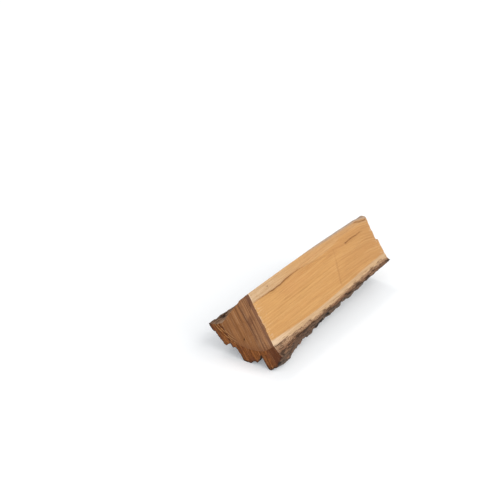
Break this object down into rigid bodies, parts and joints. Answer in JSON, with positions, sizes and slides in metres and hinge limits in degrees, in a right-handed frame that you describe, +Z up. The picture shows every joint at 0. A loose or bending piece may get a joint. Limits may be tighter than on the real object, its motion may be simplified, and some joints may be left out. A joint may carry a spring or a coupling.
{
  "type": "split log",
  "caption": "Wedge of seasoned firewood, cleaved from a round along the grain, with rough bark on its curved underside and both ends sawn square.",
  "frame": {"origin": "centre of the bounding box on the floor that the log lies on", "axes": "+X along the grain from the near sawn end to the far one, +Z up towards the pith edge, so that -Y is the side of the broad cleaved face that shows"},
  "size_m": [0.33, 0.1218, 0.1115],
  "materials": {
    "split_wood": "rough cleaved and sawn wood, dry, tan with a paler sapwood band and browner sawn ends",
    "bark": "rough deeply furrowed dry bark, dark grey-brown outside and red-brown where it is broken"
  },
  "bodies": {
    "root": {"split_log": "split_wood"}
  },
  "joints": []
}
